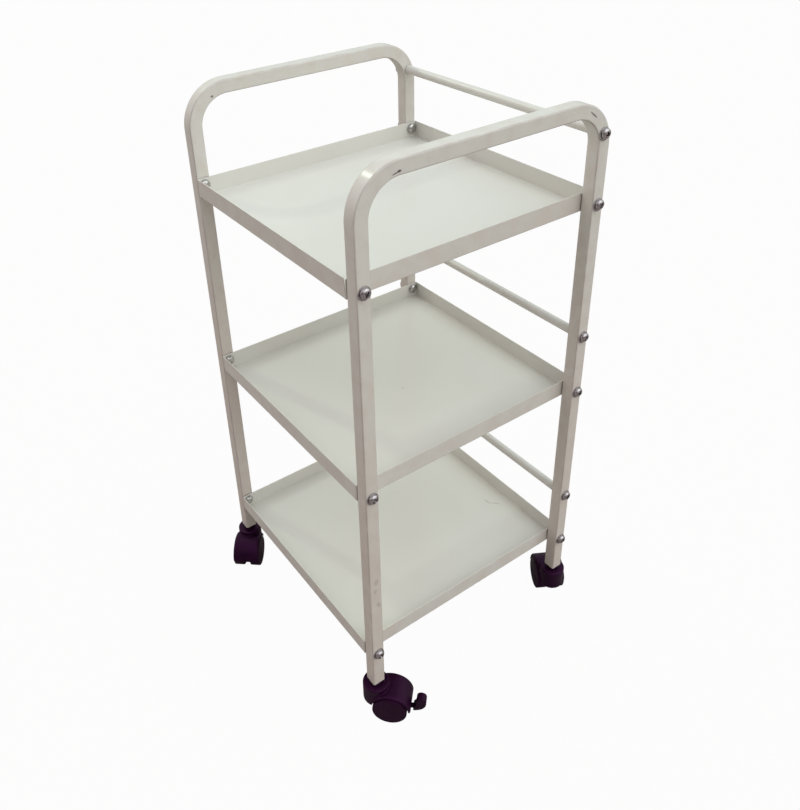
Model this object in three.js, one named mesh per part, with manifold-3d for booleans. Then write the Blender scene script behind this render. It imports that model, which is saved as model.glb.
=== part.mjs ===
// Rolling salon trolley: two square-tube frames bent to an inverted U, three folded sheet trays
// bolted between them, three round guard rods across the rear, and four twin-wheel casters.
// Millimetres, +Z up. +X is the right-hand frame and -Y the open front. The origin is the middle
// of the foot of the whole object's box, on the floor.
import * as THREE from 'three';
import { mergeVertices } from 'three/addons/utils/BufferGeometryUtils.js';
import Module from 'manifold-3d';

const wasm = await Module();
wasm.setup();

// ---- driving dimensions -------------------------------------------------------------------
const GAP = 0.3;                     // left between pieces that touch

const TUBE = 19;                     // side of the square tube
const TUBE_WALL = 1.2;
const TUBE_CORNER = 1.5;             // chamfer that stands for the tube's rounded corners
const CLEAR_WIDTH = 360;             // between the two frames
const FRAME_DEPTH = 373.5;           // across the two legs of one frame
const LEG_FOOT = 68;                 // height of the cut leg ends above the floor
const FRAME_RISE = 773.5;            // leg end to the top of the handle
const BEND_RADIUS = 60;              // outside of the handle's bends
const BEND_STEPS = 3;

const SHEET = 1.2;
const TRAY_WALL_HEIGHT = 25.4;
const TRAY_FOLD = 2;                 // outside radius of the fold between floor and wall
const LOWEST_RIM = 141.6;
const TRAY_PITCH = 287.3;
const CORNER_SLIT = 0.8;             // open seam between two folded walls

const ROD_DIAMETER = 12.7;
const ROD_ABOVE_RIM = 82;
const TAP_DEPTH = 15;                // threaded hole in each rod end

const SCREW_SHANK = 6;
const SCREW_LENGTH = 25;
const SCREW_HOLE = 6.6;
const HEAD_DIAMETER = 13.5;
const HEAD_HEIGHT = 5.2;
const WASHER_DIAMETER = 16.5;
const WASHER_THICKNESS = 1.4;
const SCREW_BELOW_RIM = 10;
const NUT_DIAMETER = 15;
const NUT_HEIGHT = 5.5;
const FASTENER_SIDES = 10;

const WHEEL_RADIUS = 25;
const WHEEL_SIDES = 20;
const WHEEL_INNER = 5.6;             // wheel faces, measured from the caster's middle plane
const WHEEL_OUTER = 22.9;
const WHEEL_SHOULDER = 1.2;
const WHEEL_CAP = 2.5;               // skin over the end of the axle
const CASTER_TRAIL = 21.7;           // axle behind the swivel axis
const AXLE_RADIUS = 3;
const HOOD_RADIUS = 30.2;
const HOOD_HALF_WIDTH = 21.2;
const TRAILING_LIP = 3.5;            // the hood's ends, in degrees round the axle
const LEADING_LIP = 162;
const WELL_RADIUS = 27;              // inside of the hood over the wheels
const WEB_HALF = 5;                  // middle wall between the wheels
const WEB_HUB = 7.5;                 // its rounding under the axle
const POCKET_ANGLE = 62;             // room for the brake pedal, in degrees round the axle
const BOSS_RADIUS = 19.1;
const BOSS_FOOT = 30;
const BOSS_TOP = 62;
const BOSS_EDGE = 1;
const STEM_RADIUS = 5.5;
const STEM_FOOT = 43;
const COLLAR_RADIUS = 9;
const SOCKET_RADIUS = 7.9;
const SOCKET_LENGTH = 34;

const PIVOT = { x: 40.5, z: 36 };    // brake pedal's pivot, behind and above the axle
const PIVOT_RADIUS = 2;
const ARM_HALF = 2.8;
const PAD_HALF = 6.5;
const PAD_START = 54;                // where the arm widens into the thumb pad
const PAD_RADIUS = 7.2;
const PAD_CENTRE = { x: 65.6, z: 32 };
const ARM_FOOT = 13.5;
const ARM_DEPTH = 5.1;
const EAR_RADIUS = 3.6;              // round the pivot

const halfDepth = FRAME_DEPTH / 2;
const halfWidth = CLEAR_WIDTH / 2;
const legY = halfDepth - TUBE / 2;
const legX = halfWidth + TUBE / 2;
const frameTop = LEG_FOOT + FRAME_RISE;
const rims = { bottom: LOWEST_RIM, middle: LOWEST_RIM + TRAY_PITCH, top: LOWEST_RIM + 2 * TRAY_PITCH };

// Where each caster trails to, counter-clockwise from +X.
const corners = [
  { name: 'front_right', x: legX, y: -legY, heading: 45, brake: true },
  { name: 'rear_right', x: legX, y: legY, heading: 150, brake: false },
  { name: 'front_left', x: -legX, y: -legY, heading: 319.5, brake: false },
  { name: 'rear_left', x: -legX, y: legY, heading: 225, brake: true },
];

// ---- materials ----------------------------------------------------------------------------
const paint = () => new THREE.MeshStandardMaterial({ color: 0xd6d3c7, roughness: 0.38, metalness: 0 });
const trayPaint = () => new THREE.MeshStandardMaterial({ color: 0xd3d8cc, roughness: 0.3, metalness: 0 });
const zinc = () => new THREE.MeshStandardMaterial({ color: 0xb4b4b0, roughness: 0.28, metalness: 1 });
const steel = () => new THREE.MeshStandardMaterial({ color: 0x9a9a98, roughness: 0.35, metalness: 1 });
const blackPlastic = () => new THREE.MeshStandardMaterial({
  color: 0x1d1820, roughness: 0.42, metalness: 0,
});

// ---- solids -------------------------------------------------------------------------------
function closedMesh(geometry) {
  const bare = geometry.clone();
  bare.deleteAttribute('normal');
  bare.deleteAttribute('uv');
  const merged = mergeVertices(bare, 1e-4);
  const corner = merged.index.array;
  const kept = [];
  for (let i = 0; i < corner.length; i += 3) {
    const [a, b, c] = [corner[i], corner[i + 1], corner[i + 2]];
    if (a !== b && b !== c && c !== a) kept.push(a, b, c);
  }
  merged.setIndex(kept);
  return merged;
}

function toSolid(geometry) {
  const mesh = closedMesh(geometry);
  return new wasm.Manifold(new wasm.Mesh({
    numProp: 3,
    vertProperties: new Float32Array(mesh.attributes.position.array),
    triVerts: new Uint32Array(mesh.index.array),
  }));
}

function toGeometry(solid) {
  const mesh = solid.getMesh();
  const geometry = new THREE.BufferGeometry();
  geometry.setAttribute('position', new THREE.BufferAttribute(mesh.vertProperties, 3));
  geometry.setIndex(new THREE.BufferAttribute(mesh.triVerts, 1));
  geometry.computeVertexNormals();
  return geometry;
}

function cut(body, ...tools) {
  return tools.reduce((left, tool) => left.subtract(toSolid(tool)), body);
}

// A shape drawn in the YZ plane, extruded along X about x = 0.
function extrudeAlongX(shape, length, options = {}) {
  const geometry = new THREE.ExtrudeGeometry(shape, { depth: length, bevelEnabled: false, ...options });
  geometry.translate(0, 0, -length / 2);
  const basis = new THREE.Matrix4().makeBasis(
    new THREE.Vector3(0, 1, 0), new THREE.Vector3(0, 0, 1), new THREE.Vector3(1, 0, 0));
  return geometry.applyMatrix4(basis);
}

// A shape drawn in the XZ plane, extruded along Y about y = 0.
function extrudeAlongY(shape, length, options = {}) {
  const geometry = new THREE.ExtrudeGeometry(shape, { depth: length, bevelEnabled: false, ...options });
  geometry.translate(0, 0, -length / 2);
  const basis = new THREE.Matrix4().makeBasis(
    new THREE.Vector3(1, 0, 0), new THREE.Vector3(0, 0, 1), new THREE.Vector3(0, -1, 0));
  return geometry.applyMatrix4(basis);
}

// A profile of [radius, height] pairs turned about Z; it starts and ends on the axis.
function turnAboutZ(profile, sides) {
  const points = profile.map(([radius, height]) => new THREE.Vector2(radius, height));
  return new THREE.LatheGeometry(points, sides, Math.PI / sides).rotateX(Math.PI / 2);
}

// The same about Y, with a flat facet facing down.
function turnAboutY(profile, sides) {
  const points = profile.map(([radius, along]) => new THREE.Vector2(radius, along));
  return new THREE.LatheGeometry(points, sides, Math.PI / sides);
}

function turnAboutX(profile, sides) {
  return turnAboutY(profile, sides).rotateZ(-Math.PI / 2);
}

function holeAlongX(y, z, length, diameter = SCREW_HOLE) {
  const radius = diameter / 2;
  const profile = [[0, -length / 2], [radius, -length / 2], [radius, length / 2], [0, length / 2]];
  return turnAboutX(profile, FASTENER_SIDES).translate(0, y, z);
}

// ---- frames -------------------------------------------------------------------------------
// The inverted U of one tube wall, drawn in the YZ plane. inset moves both sides of the tube
// inwards, and foot is where its legs end.
function frameOutline(inset, foot) {
  const outer = halfDepth - inset;
  const inner = halfDepth - TUBE + inset;
  const top = frameTop - inset;
  const under = frameTop - TUBE + inset;
  const centreY = halfDepth - BEND_RADIUS;
  const centreZ = frameTop - BEND_RADIUS;
  const wide = BEND_RADIUS - inset;
  const tight = BEND_RADIUS - TUBE + inset;
  const shape = new THREE.Shape();
  shape.moveTo(outer, foot);
  shape.lineTo(outer, centreZ);
  shape.absarc(centreY, centreZ, wide, 0, Math.PI / 2, false);
  shape.lineTo(-centreY, top);
  shape.absarc(-centreY, centreZ, wide, Math.PI / 2, Math.PI, false);
  shape.lineTo(-outer, foot);
  shape.lineTo(-inner, foot);
  shape.lineTo(-inner, centreZ);
  shape.absarc(-centreY, centreZ, tight, Math.PI, Math.PI / 2, true);
  shape.lineTo(centreY, under);
  shape.absarc(centreY, centreZ, tight, Math.PI / 2, 0, true);
  shape.lineTo(inner, foot);
  shape.closePath();
  return shape;
}

// A rod lies on the tube's centre line, which leans inwards where the frame starts to bend.
function rodY(z) {
  const rise = z - (frameTop - BEND_RADIUS);
  const centreLine = BEND_RADIUS - TUBE / 2;
  const bentY = halfDepth - BEND_RADIUS + Math.sqrt(centreLine ** 2 - Math.max(rise, 0) ** 2);
  return rise > 0 ? bentY : legY;
}

function frame() {
  const waste = 10;
  const skin = extrudeAlongX(frameOutline(0, LEG_FOOT - waste), TUBE - 2 * TUBE_CORNER, {
    bevelEnabled: true,
    bevelThickness: TUBE_CORNER,
    bevelSize: TUBE_CORNER,
    bevelOffset: -TUBE_CORNER,
    bevelSegments: 1,
    curveSegments: BEND_STEPS,
  });
  const bore = extrudeAlongX(frameOutline(TUBE_WALL, LEG_FOOT - 2 * waste), TUBE - 2 * TUBE_WALL,
    { curveSegments: BEND_STEPS });
  const below = new THREE.BoxGeometry(2 * TUBE, 2 * FRAME_DEPTH, 4 * waste)
    .translate(0, 0, LEG_FOOT - 2 * waste);
  const holes = [];
  for (const rim of Object.values(rims)) {
    holes.push(holeAlongX(legY, rim - SCREW_BELOW_RIM, 2 * TUBE));
    holes.push(holeAlongX(-legY, rim - SCREW_BELOW_RIM, 2 * TUBE));
    holes.push(holeAlongX(rodY(rim + ROD_ABOVE_RIM), rim + ROD_ABOVE_RIM, 2 * TUBE));
  }
  return toGeometry(cut(toSolid(skin), bore, below, ...holes));
}

// ---- trays --------------------------------------------------------------------------------
// One cross-section of the tray, from its rounded floor folds up to top.
function trayOutline(half, floor, fold, top) {
  const shape = new THREE.Shape();
  shape.moveTo(-half, top);
  shape.lineTo(-half, floor + fold);
  shape.absarc(-half + fold, floor + fold, fold, Math.PI, 1.5 * Math.PI, false);
  shape.lineTo(half - fold, floor);
  shape.absarc(half - fold, floor + fold, fold, 1.5 * Math.PI, 2 * Math.PI, false);
  shape.lineTo(half, top);
  shape.closePath();
  return shape;
}

function trayBlock(inset, top) {
  const halfX = halfWidth - GAP - inset;
  const halfY = halfDepth - inset;
  const fold = TRAY_FOLD - inset;
  const across = extrudeAlongY(trayOutline(halfX, inset, fold, top), 2 * halfY, { curveSegments: 1 });
  const along = extrudeAlongX(trayOutline(halfY, inset, fold, top), 2 * halfX, { curveSegments: 1 });
  return toSolid(across).intersect(toSolid(along));
}

function tray() {
  let body = trayBlock(0, TRAY_WALL_HEIGHT).subtract(trayBlock(SHEET, 2 * TRAY_WALL_HEIGHT));
  for (const sideX of [-1, 1]) {
    for (const sideY of [-1, 1]) {
      const slit = new THREE.BoxGeometry(6 * SHEET, CORNER_SLIT, TRAY_WALL_HEIGHT)
        .rotateZ(sideX * sideY * Math.PI / 4)
        .translate(sideX * halfWidth, sideY * halfDepth, TRAY_WALL_HEIGHT / 2 + TRAY_FOLD);
      body = cut(body, slit);
    }
    const holeZ = TRAY_WALL_HEIGHT - SCREW_BELOW_RIM;
    body = cut(body,
      holeAlongX(legY, holeZ, 4 * TUBE).translate(sideX * halfWidth, 0, 0),
      holeAlongX(-legY, holeZ, 4 * TUBE).translate(sideX * halfWidth, 0, 0));
  }
  return toGeometry(body);
}

// ---- rods and fasteners -------------------------------------------------------------------
function rod() {
  const radius = ROD_DIAMETER / 2;
  const tap = SCREW_HOLE / 2;
  const end = halfWidth - GAP;
  const profile = [
    [0, -end + TAP_DEPTH], [tap, -end + TAP_DEPTH], [tap, -end], [radius, -end],
    [radius, end], [tap, end], [tap, end - TAP_DEPTH], [0, end - TAP_DEPTH],
  ];
  return closedMesh(turnAboutX(profile, 14));
}

// A domed screw that points along -X, its bearing face at x = 0.
function screw() {
  const shank = SCREW_SHANK / 2;
  const head = HEAD_DIAMETER / 2;
  const washer = WASHER_DIAMETER / 2;
  const profile = [
    [0, -SCREW_LENGTH], [shank, -SCREW_LENGTH], [shank, 0],
    [washer, 0], [washer, WASHER_THICKNESS], [head, WASHER_THICKNESS],
    [head, WASHER_THICKNESS + 0.25 * HEAD_HEIGHT], [0.75 * head, WASHER_THICKNESS + 0.75 * HEAD_HEIGHT],
    [0, WASHER_THICKNESS + HEAD_HEIGHT],
  ];
  return closedMesh(turnAboutX(profile, FASTENER_SIDES));
}

// A domed cap nut that points along -X, its bearing face at x = 0, with a blind thread.
function capNut() {
  const thread = SCREW_HOLE / 2;
  const radius = NUT_DIAMETER / 2;
  const threadEnd = -0.8 * NUT_HEIGHT;
  const profile = [
    [0, -NUT_HEIGHT], [0.55 * radius, -0.86 * NUT_HEIGHT], [0.87 * radius, -0.52 * NUT_HEIGHT],
    [radius, -0.2 * NUT_HEIGHT], [radius, 0], [thread, 0], [thread, threadEnd], [0, threadEnd],
  ];
  return closedMesh(turnAboutX(profile, FASTENER_SIDES));
}

// ---- casters ------------------------------------------------------------------------------
// A caster is drawn about its own swivel axis, z from the floor, trailing along +X, with its
// axle along Y.
const axle = { x: CASTER_TRAIL, z: WHEEL_RADIUS };

function disc(x, z, radius, from, to) {
  const shape = new THREE.Shape();
  shape.absarc(x, z, radius, from, to, false);
  shape.closePath();
  return shape;
}

function casterHood() {
  const { degToRad } = THREE.MathUtils;
  const cover = extrudeAlongY(
    disc(axle.x, axle.z, HOOD_RADIUS, degToRad(TRAILING_LIP), degToRad(LEADING_LIP)),
    2 * HOOD_HALF_WIDTH, { curveSegments: 8 });
  const boss = turnAboutZ([
    [0, BOSS_FOOT], [BOSS_RADIUS, BOSS_FOOT], [BOSS_RADIUS, BOSS_TOP - BOSS_EDGE],
    [BOSS_RADIUS - BOSS_EDGE, BOSS_TOP], [0, BOSS_TOP],
  ], 20);
  const web = new THREE.Shape();
  web.absarc(axle.x, axle.z, WEB_HUB, Math.PI, 2 * Math.PI, false);
  web.lineTo(axle.x + WEB_HUB, axle.z + 2 * WEB_HUB);
  web.lineTo(axle.x - WEB_HUB, axle.z + 2 * WEB_HUB);
  web.closePath();
  const well = extrudeAlongY(disc(axle.x, axle.z, WELL_RADIUS, 0, 2 * Math.PI), HOOD_HALF_WIDTH,
    { curveSegments: 12 });
  const wellMiddle = WEB_HALF + HOOD_HALF_WIDTH / 2;
  const pocketAngle = degToRad(POCKET_ANGLE);
  const pocket = extrudeAlongY(disc(axle.x, axle.z, WELL_RADIUS, -pocketAngle, pocketAngle),
    2 * (ARM_HALF + GAP), { curveSegments: 4 });
  const stemHole = turnAboutZ([
    [0, STEM_FOOT - GAP], [STEM_RADIUS + GAP, STEM_FOOT - GAP], [STEM_RADIUS + GAP, 2 * BOSS_TOP],
    [0, 2 * BOSS_TOP],
  ], 12);
  const pin = (x, z, radius) => turnAboutY([
    [0, -2 * WEB_HALF], [radius, -2 * WEB_HALF], [radius, 2 * WEB_HALF], [0, 2 * WEB_HALF],
  ], 10).translate(x, 0, z);
  const body = toSolid(cover).add(toSolid(boss)).add(toSolid(extrudeAlongY(web, 2 * WEB_HALF,
    { curveSegments: 5 })));
  return toGeometry(cut(body,
    well.clone().translate(0, wellMiddle, 0),
    well.clone().translate(0, -wellMiddle, 0),
    pocket,
    stemHole,
    pin(axle.x, axle.z, AXLE_RADIUS + GAP),
    pin(PIVOT.x, PIVOT.z, PIVOT_RADIUS + GAP)));
}

// The wheel on the +Y side, with a blind hub that the axle enters from the middle.
function wheel() {
  const tread = WHEEL_RADIUS / Math.cos(Math.PI / WHEEL_SIDES);
  const bore = AXLE_RADIUS + GAP;
  const profile = [
    [0, WHEEL_OUTER - WHEEL_CAP], [bore, WHEEL_OUTER - WHEEL_CAP], [bore, WHEEL_INNER],
    [tread, WHEEL_INNER], [tread, WHEEL_OUTER - WHEEL_SHOULDER],
    [tread - WHEEL_SHOULDER, WHEEL_OUTER],
    [0, WHEEL_OUTER],
  ];
  return closedMesh(turnAboutY(profile, WHEEL_SIDES)).translate(axle.x, 0, axle.z);
}

function axlePin() {
  const reach = WHEEL_OUTER - WHEEL_CAP - GAP;
  const profile = [[0, -reach], [AXLE_RADIUS, -reach], [AXLE_RADIUS, reach], [0, reach]];
  return closedMesh(turnAboutY(profile, 10)).translate(axle.x, 0, axle.z);
}

// The stem with the socket that plugs the leg's end: it stays with the leg as the hood swivels.
function stem() {
  const tip = 2;
  const profile = [
    [0, STEM_FOOT], [STEM_RADIUS, STEM_FOOT], [STEM_RADIUS, BOSS_TOP + GAP],
    [COLLAR_RADIUS, BOSS_TOP + GAP], [COLLAR_RADIUS, LEG_FOOT - GAP],
    [SOCKET_RADIUS, LEG_FOOT - GAP], [SOCKET_RADIUS, LEG_FOOT + SOCKET_LENGTH],
    [0, LEG_FOOT + SOCKET_LENGTH + tip],
  ];
  return closedMesh(turnAboutZ(profile, 12));
}

// The pedal hangs from its pivot between the wheels and curls up behind the hood.
function brakePedal() {
  const armTop = ARM_FOOT + ARM_DEPTH;
  const padBack = PAD_CENTRE.x + PAD_RADIUS;
  const outline = new THREE.Shape();
  outline.moveTo(PIVOT.x - 3, PIVOT.z - 2);
  outline.lineTo(PIVOT.x - 2.5, ARM_FOOT + 5.5);
  outline.quadraticCurveTo(PIVOT.x - 2, ARM_FOOT, PIVOT.x + 4.5, ARM_FOOT);
  outline.lineTo(PAD_START + 2, ARM_FOOT + 0.3);
  outline.quadraticCurveTo(padBack - 2.3, ARM_FOOT + 3.5, padBack, PAD_CENTRE.z - 3);
  outline.lineTo(padBack, PAD_CENTRE.z);
  outline.absarc(PAD_CENTRE.x, PAD_CENTRE.z, PAD_RADIUS, 0, Math.PI, false);
  outline.quadraticCurveTo(PAD_START + 3.5, armTop + 0.4, PAD_START - 2, armTop);
  outline.lineTo(PIVOT.x + 5, armTop);
  outline.quadraticCurveTo(PIVOT.x + 4, armTop, PIVOT.x + 4, armTop + 1.4);
  outline.lineTo(PIVOT.x + 3.5, PIVOT.z + 1);
  outline.absarc(PIVOT.x, PIVOT.z, EAR_RADIUS, 0.3, Math.PI - 0.3, false);
  outline.closePath();
  const plate = (half) => toSolid(extrudeAlongY(outline, 2 * half, { curveSegments: 3 }));
  const inside = toSolid(new THREE.BoxGeometry(PAD_START, 4 * PAD_HALF, 2 * BOSS_TOP)
    .translate(PAD_START / 2, 0, 0));
  const trunnion = turnAboutY([
    [0, -WEB_HALF + GAP], [PIVOT_RADIUS, -WEB_HALF + GAP], [PIVOT_RADIUS, WEB_HALF - GAP],
    [0, WEB_HALF - GAP],
  ], 10).translate(PIVOT.x, 0, PIVOT.z);
  return toGeometry(plate(PAD_HALF).subtract(inside).add(plate(ARM_HALF)).add(toSolid(trunnion)));
}

// ---- assembly -----------------------------------------------------------------------------
const trolley = new THREE.Group();

function place(parent, name, geometry, material, x = 0, y = 0, z = 0, turn = 0) {
  const mesh = new THREE.Mesh(geometry, material);
  mesh.name = name;
  mesh.position.set(x, y, z);
  mesh.rotation.z = turn;
  parent.add(mesh);
}

place(trolley, 'left_frame', frame(), paint(), -legX);
place(trolley, 'right_frame', frame(), paint(), legX);

for (const [level, rim] of Object.entries(rims)) {
  place(trolley, `${level}_tray`, tray(), trayPaint(), 0, 0, rim - TRAY_WALL_HEIGHT);
  const rodZ = rim + ROD_ABOVE_RIM;
  place(trolley, `${level}_rod`, rod(), paint(), 0, rodY(rodZ), rodZ);
  for (const [hand, side, turn] of [['left', -1, Math.PI], ['right', 1, 0]]) {
    place(trolley, `${level}_rod_screw_${hand}`, screw(), zinc(),
      side * (halfWidth + TUBE + GAP), rodY(rodZ), rodZ, turn);
    for (const [end, y] of [['front', -legY], ['rear', legY]]) {
      const screwZ = rim - SCREW_BELOW_RIM;
      place(trolley, `${level}_tray_screw_${end}_${hand}`, screw(), zinc(),
        side * (halfWidth + TUBE + GAP), y, screwZ, turn);
      place(trolley, `${level}_cap_nut_${end}_${hand}`, capNut(), zinc(),
        side * (halfWidth - SHEET - 2 * GAP), y, screwZ, turn);
    }
  }
}

for (const corner of corners) {
  const caster = new THREE.Group();
  caster.position.set(corner.x, corner.y, 0);
  caster.rotation.z = THREE.MathUtils.degToRad(corner.heading);
  place(caster, `${corner.name}_caster_hood`, casterHood(), blackPlastic());
  place(caster, `${corner.name}_wheel_a`, wheel(), blackPlastic());
  place(caster, `${corner.name}_wheel_b`, wheel().rotateZ(Math.PI).translate(2 * axle.x, 0, 0),
    blackPlastic());
  place(caster, `${corner.name}_axle`, axlePin(), steel());
  place(caster, `${corner.name}_stem`, stem(), blackPlastic());
  if (corner.brake) place(caster, `${corner.name}_brake_pedal`, brakePedal(), blackPlastic());
  trolley.add(caster);
}

// The whole object's box is centred on the origin, and its wheels stand on z = 0.
trolley.updateMatrixWorld(true);
const box = new THREE.Box3().setFromObject(trolley, true);
trolley.position.set(-(box.min.x + box.max.x) / 2, -(box.min.y + box.max.y) / 2, -box.min.z);

const object = new THREE.Group();
object.add(trolley);
export default object;
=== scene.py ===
import math
import random

import bmesh
import bpy
from mathutils import Matrix, Vector


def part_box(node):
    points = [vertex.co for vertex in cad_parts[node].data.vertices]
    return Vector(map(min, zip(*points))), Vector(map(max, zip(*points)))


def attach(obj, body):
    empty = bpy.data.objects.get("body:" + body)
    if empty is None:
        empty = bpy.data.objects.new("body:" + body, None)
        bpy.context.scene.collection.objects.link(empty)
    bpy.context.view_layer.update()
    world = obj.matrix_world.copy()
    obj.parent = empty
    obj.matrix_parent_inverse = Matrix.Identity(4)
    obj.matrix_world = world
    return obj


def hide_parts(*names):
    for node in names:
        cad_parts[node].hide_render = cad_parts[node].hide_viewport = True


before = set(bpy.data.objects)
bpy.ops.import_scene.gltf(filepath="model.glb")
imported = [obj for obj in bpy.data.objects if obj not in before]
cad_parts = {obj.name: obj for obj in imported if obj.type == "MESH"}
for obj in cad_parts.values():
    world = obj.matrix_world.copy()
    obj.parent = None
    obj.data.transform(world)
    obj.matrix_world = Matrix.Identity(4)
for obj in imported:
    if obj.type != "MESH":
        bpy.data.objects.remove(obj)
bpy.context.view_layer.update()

MM = 0.001
dice = random.Random(7)

# ---- sizes, in millimetres ------------------------------------------------------------------
TUBE_WALL = 1.2
TUBE_CORNER = 2.3                 # rounding of the square tube's corners
CORNER_STEPS = 6
BEND_RADIUS = 60                  # outside of the handle's bends
BEND_STEPS = 36

SHEET = 1.2
TRAY_FOLD = 2                     # outside radius of the fold between floor and wall
FOLD_STEPS = 8
TRAY_CLEARANCE = 0.5              # the tray's sides stand this far inside their CAD solid
RELIEF = 0.3                      # corner notch between two folds
SIDE_FOLD_SHORT = 0.4             # the side folds stop this far before the tray's corner
SLIT = (0.9, 0.4)                 # open seam between two walls: just above the fold, and at the rim
OPEN_SLITS = {"top": (0.2, 3.4), "middle": (1.5, 0.3)}    # the same, at the front right corner
RIM_SOFTNESS = 0.35

ROD_SIDES = 64
ROD_EDGE = 0.5
TAP_RADIUS = 3.3
TAP_DEPTH = 15

TURNED_SIDES = 48
FASTENER_EDGE = 0.3
SHANK_RADIUS = 3
SHANK_LENGTH = 25
SHANK_CHAMFER = 0.6
WASHER_RADIUS = 8.25
WASHER_THICKNESS = 1.4
WASHER_BORE = 4.3
WASHER_EDGE = 0.25
WASHER_DROOP = 1.1                # a loose washer hangs on the screw's shank
HEAD_RADIUS = 6.75
HEAD_SKIRT = 1.1
HEAD_TOP = 6.6                    # above the leg's face
HEAD_ROUNDNESS = 0.62             # 1 is a half ellipse, less is a flatter top
HEAD_STEPS = 16
RECESS_REACH = 4.0                # Phillips recess, centre to wing tip
RECESS_HALF = 1.0
RECESS_DEPTH = 3.0
RECESS_SHARES = (0.42, 1.15)      # its size at the foot, and 1 mm above the head

NUT_RADIUS = 7.5
NUT_SKIRT = 1.0
NUT_HEIGHT = 5.5
NUT_THREAD = 4.4
NUT_ROUNDNESS = 0.85
NUT_STEPS = 12

WHEEL_RADIUS = 25
WHEEL_INNER = 5.6                 # the wheel's two faces, from the caster's middle plane
WHEEL_OUTER = 22.9
WHEEL_SHOULDER = 1.5
WHEEL_CHAMFER = 1
WHEEL_CROWN = 0.9                 # how far the middle of the face stands out
WHEEL_SIDES = 96
WHEEL_GROOVE = (8, 21.5)          # hollow ring in the inner face, its two radii
GROOVE_DEPTH = 3
GROOVE_SLOPE = 1
WHEEL_BORE = 3.3
WHEEL_CAP = 2.5
CASTER_TRAIL = 21.7
AXLE_RADIUS = 3
AXLE_CHAMFER = 0.5
HOOD_RADIUS = 30.2
HOOD_HALF = 21.2
HOOD_SHOULDER = 2.4
HOOD_LIPS = (3.5, 162)            # trailing and leading ends of the hood, degrees round the axle
HOOD_SKIN = (0.6, 5)              # voxel and rounds of smoothing of the moulded skin
ROUND_SIDES = 72
WELL_RADIUS = 27
POCKET_REACH = 62                 # half the pocket's opening, degrees round the axle
WEB_HALF = 5
WEB_HUB = 7.5
BOSS_RADIUS = 19.1
BOSS_FOOT = 30
BOSS_TOP = 62
BOSS_EDGE = 1.8
STEM_RADIUS = 5.5
STEM_FOOT = 43
STEM_CHAMFER = 0.6
COLLAR_RADIUS = 9
COLLAR_EDGE = 0.5
COLLAR_GROOVE = (2.2, 2.5, 3, 3.3)    # heights above the boss
SOCKET_RADIUS = 7.9
SOCKET_LENGTH = 34
SOCKET_TAPER = 2
PEDAL_PIVOT = (40.5, 36)          # behind and above the axle, from the swivel axis and the floor
PEDAL_SKIN = (0.45, 4)
EAR_RADIUS = 3.6
TRUNNION_RADIUS = 2
ARM_HALF = 2.8
PAD_HALF = 6.5
PAD_START = 54
PAD_CENTRE = (65.6, 32)
PAD_RADIUS = 7.2
GAP = 0.3

BEVEL_ANGLE = 40                  # degrees: sharper edges than this are softened
SHARP_ANGLE = 35                  # degrees: sharper edges than this stay crisp in the shading
MOULDED_SHARP = 60


# ---- places, read from the CAD frame --------------------------------------------------------
def box_mm(node):
    low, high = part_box(node)
    return low / MM, high / MM


right_low, right_high = box_mm("right_frame")
tray_low, tray_high = box_mm("top_tray")
TUBE = right_high.x - right_low.x
LEG_FOOT = right_low.z
FRAME_TOP = right_high.z
MIDDLE_Y = (right_low.y + right_high.y) / 2
HALF_DEPTH = (right_high.y - right_low.y) / 2
LEVELS = ("bottom", "middle", "top")
CORNERS = ("front_right", "rear_right", "front_left", "rear_left")


def middle(node):
    low, high = box_mm(node)
    return (low + high) / 2


def heading(corner):
    """How far a caster's frame is turned about Z: from its stem to its axle."""
    trail = middle(f"{corner}_axle") - middle(f"{corner}_stem")
    return math.atan2(trail.y, trail.x)


# ---- mesh helpers ---------------------------------------------------------------------------
def skin(bm, rows, closed_rows=False, closed_ring=True):
    """Quads between equal rows of vertices; a row of one vertex is a pole."""
    pairs = list(zip(rows, rows[1:]))
    if closed_rows:
        pairs.append((rows[-1], rows[0]))
    for a, b in pairs:
        count = max(len(a), len(b))
        for i in range(count if closed_ring else count - 1):
            j = (i + 1) % count
            if len(a) == 1:
                bm.faces.new((a[0], b[i], b[j]))
            elif len(b) == 1:
                bm.faces.new((a[i], a[j], b[0]))
            else:
                bm.faces.new((a[i], a[j], b[j], b[i]))


def ring(bm, radius, height, sides):
    """A level ring of vertices about Z, or one on the axis."""
    if radius < 1e-6:
        return [bm.verts.new((0, 0, height))]
    turns = [2 * math.pi * i / sides for i in range(sides)]
    return [bm.verts.new((radius * math.cos(t), radius * math.sin(t), height)) for t in turns]


def turned(bm, profile, sides=TURNED_SIDES, hollow=False):
    """A solid of (radius, height) points about Z. hollow closes the profile on itself."""
    rows = [ring(bm, radius, height, sides) for radius, height in profile]
    skin(bm, rows, closed_rows=hollow)


def arc(centre, radius, start, end, steps):
    """Points of an arc as (first, second) pairs; angles in degrees."""
    turns = [math.radians(start + (end - start) * i / steps) for i in range(steps + 1)]
    return [(centre[0] + radius * math.cos(t), centre[1] + radius * math.sin(t)) for t in turns]


def curve(start, pull, end, steps=8):
    """A quadratic curve through start and end."""
    a, b, c = Vector(start), Vector(pull), Vector(end)
    shares = [i / steps for i in range(steps + 1)]
    return [tuple((1 - t) ** 2 * a + 2 * t * (1 - t) * b + t * t * c) for t in shares]


def slab(bm, outline, stations):
    """An XZ outline carried along Y. Each station is (y, inset), and outline(inset) its points."""
    rows = [[bm.verts.new((x, y, z)) for x, z in outline(inset)] for y, inset in stations]
    skin(bm, rows)
    bm.faces.new(rows[0])
    bm.faces.new(rows[-1])


def plate(bm, points, half):
    """XZ points carried straight from Y = -half to Y = half."""
    slab(bm, lambda inset: points, [(-half, 0), (half, 0)])


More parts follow.
